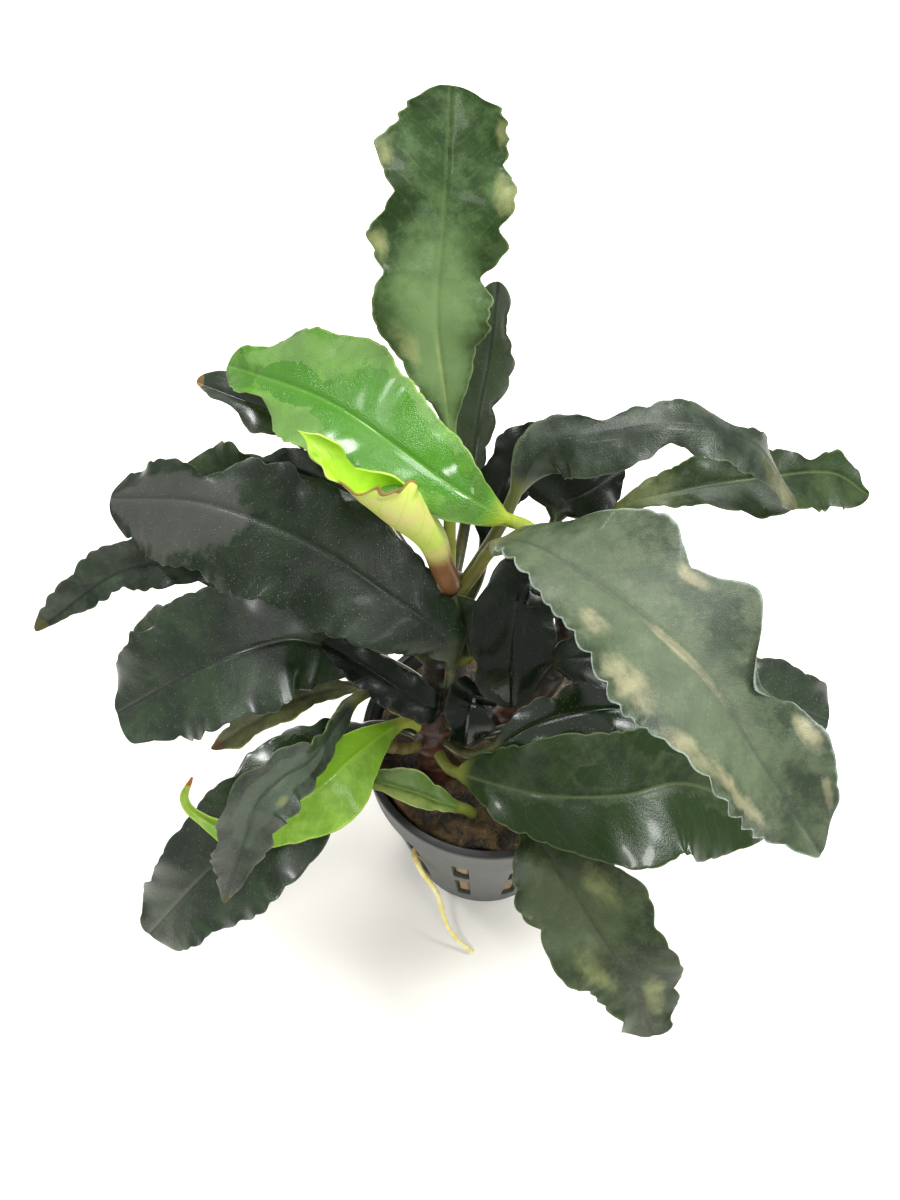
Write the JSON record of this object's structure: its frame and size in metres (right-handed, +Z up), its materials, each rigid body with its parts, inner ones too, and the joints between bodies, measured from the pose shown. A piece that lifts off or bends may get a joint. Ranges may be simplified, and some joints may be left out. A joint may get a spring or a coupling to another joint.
{
  "type": "potted bucephalandra aquarium plant",
  "caption": "Bucephalandra aquarium plant with dark, wavy-edged leaves on a creeping stem, rooted in rock wool in a small slotted basket pot.",
  "frame": {"origin": "centre of the underside of the basket pot, on the surface it stands on", "axes": "+Z up along the pot's axis, -Y towards the side where the lowest leaves and the root hang forward, +X towards the largest arching leaf"},
  "size_m": [0.158, 0.1073, 0.15],
  "materials": {
    "pot": "satin",
    "wool": "matte",
    "stem": "satin",
    "root": "satin",
    "leaf_dark": "gloss",
    "leaf_green": "gloss",
    "leaf_bright": "gloss",
    "leaf_grey": "satin",
    "leaf_lime": "gloss",
    "leaf_yellow": "satin",
    "sheath": "matte"
  },
  "bodies": {
    "root": {"pot": "pot", "rock_wool": "wool", "stem": "stem", "side_stem": "stem", "root": "root", "leaf_top": "leaf_green", "leaf_bright": "leaf_bright", "leaf_rolled": "leaf_yellow", "leaf_right_large": "leaf_grey", "leaf_right_arched": "leaf_grey", "leaf_left_broad": "leaf_dark", "leaf_left_behind": "leaf_green", "leaf_far_left": "leaf_dark", "leaf_left_small": "leaf_dark", "leaf_left_tip": "leaf_dark", "leaf_left_middle": "leaf_dark", "leaf_left_pale": "leaf_green", "leaf_left_olive": "sheath", "leaf_low_left": "leaf_dark", "leaf_low_twisted": "leaf_grey", "leaf_lime": "leaf_lime", "leaf_small_front": "leaf_green", "leaf_front_right": "leaf_green", "leaf_front_low": "leaf_green", "leaf_right_lower": "leaf_dark", "leaf_far_right": "leaf_green", "leaf_top_back": "leaf_dark", "leaf_back_upright": "leaf_dark", "leaf_back_dark": "leaf_dark", "leaf_inner_dark": "leaf_dark", "leaf_inner_blade": "leaf_dark", "leaf_inner_green": "leaf_green", "leaf_inner_right": "leaf_dark", "leaf_inner_shade": "leaf_dark", "leaf_inner_left": "leaf_dark", "cut_stalk": "sheath", "sheath": "sheath"}
  },
  "joints": []
}
